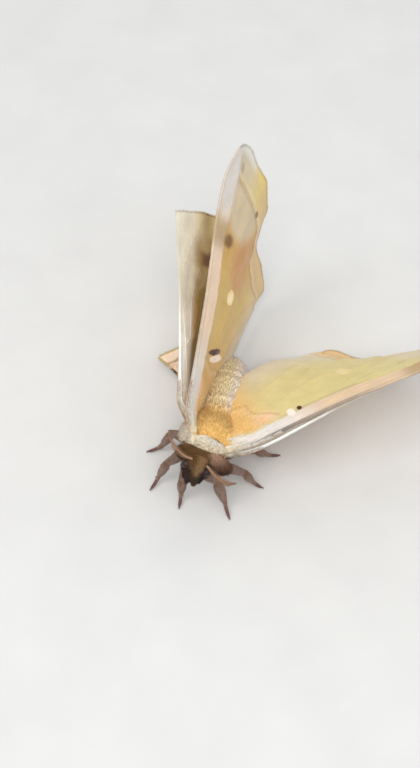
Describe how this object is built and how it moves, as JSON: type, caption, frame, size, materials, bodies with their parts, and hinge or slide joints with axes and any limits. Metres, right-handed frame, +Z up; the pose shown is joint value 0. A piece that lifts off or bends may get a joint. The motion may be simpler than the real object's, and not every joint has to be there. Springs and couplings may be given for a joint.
{
  "type": "giant silk moth",
  "caption": "Life-size female giant silk moth standing on its feet and abdomen, right wings raised and swept back, left wings held out low to the side.",
  "frame": {"origin": "centre of the part's bounding box, on the floor it stands on", "axes": "+Z up from the floor, the head faces -Y, the moth's left side is toward +X"},
  "size_m": [0.0794, 0.0706, 0.0568],
  "materials": {
    "wing": "matte scales over a thin membrane",
    "thorax_fur": "soft short fur, orange-ochre with a grey-white collar",
    "head_fur": "dense short brown fur",
    "abdomen_fur": "soft short fur, pale tan",
    "leg_fur": "soft fur, brown to pinkish brown",
    "foot": "short scales, reddish pink-brown",
    "antenna": "feathered, ochre",
    "eye": "glossy, faceted, near black"
  },
  "bodies": {
    "root": {"thorax": "thorax_fur", "head": "head_fur", "abdomen": "abdomen_fur", "eye_left": "eye", "eye_right": "eye", "antenna_left": "antenna", "antenna_right": "antenna", "forewing_left": "wing", "forewing_right": "wing", "hindwing_left": "wing", "hindwing_right": "wing", "femur_fore_left": "leg_fur", "tibia_fore_left": "leg_fur", "tarsus_fore_left": "foot", "femur_fore_right": "leg_fur", "tibia_fore_right": "leg_fur", "tarsus_fore_right": "foot", "femur_mid_left": "leg_fur", "tibia_mid_left": "leg_fur", "tarsus_mid_left": "foot", "femur_mid_right": "leg_fur", "tibia_mid_right": "leg_fur", "tarsus_mid_right": "foot", "femur_hind_left": "leg_fur", "tibia_hind_left": "leg_fur", "tarsus_hind_left": "foot", "femur_hind_right": "leg_fur", "tibia_hind_right": "leg_fur", "tarsus_hind_right": "foot"}
  },
  "joints": []
}
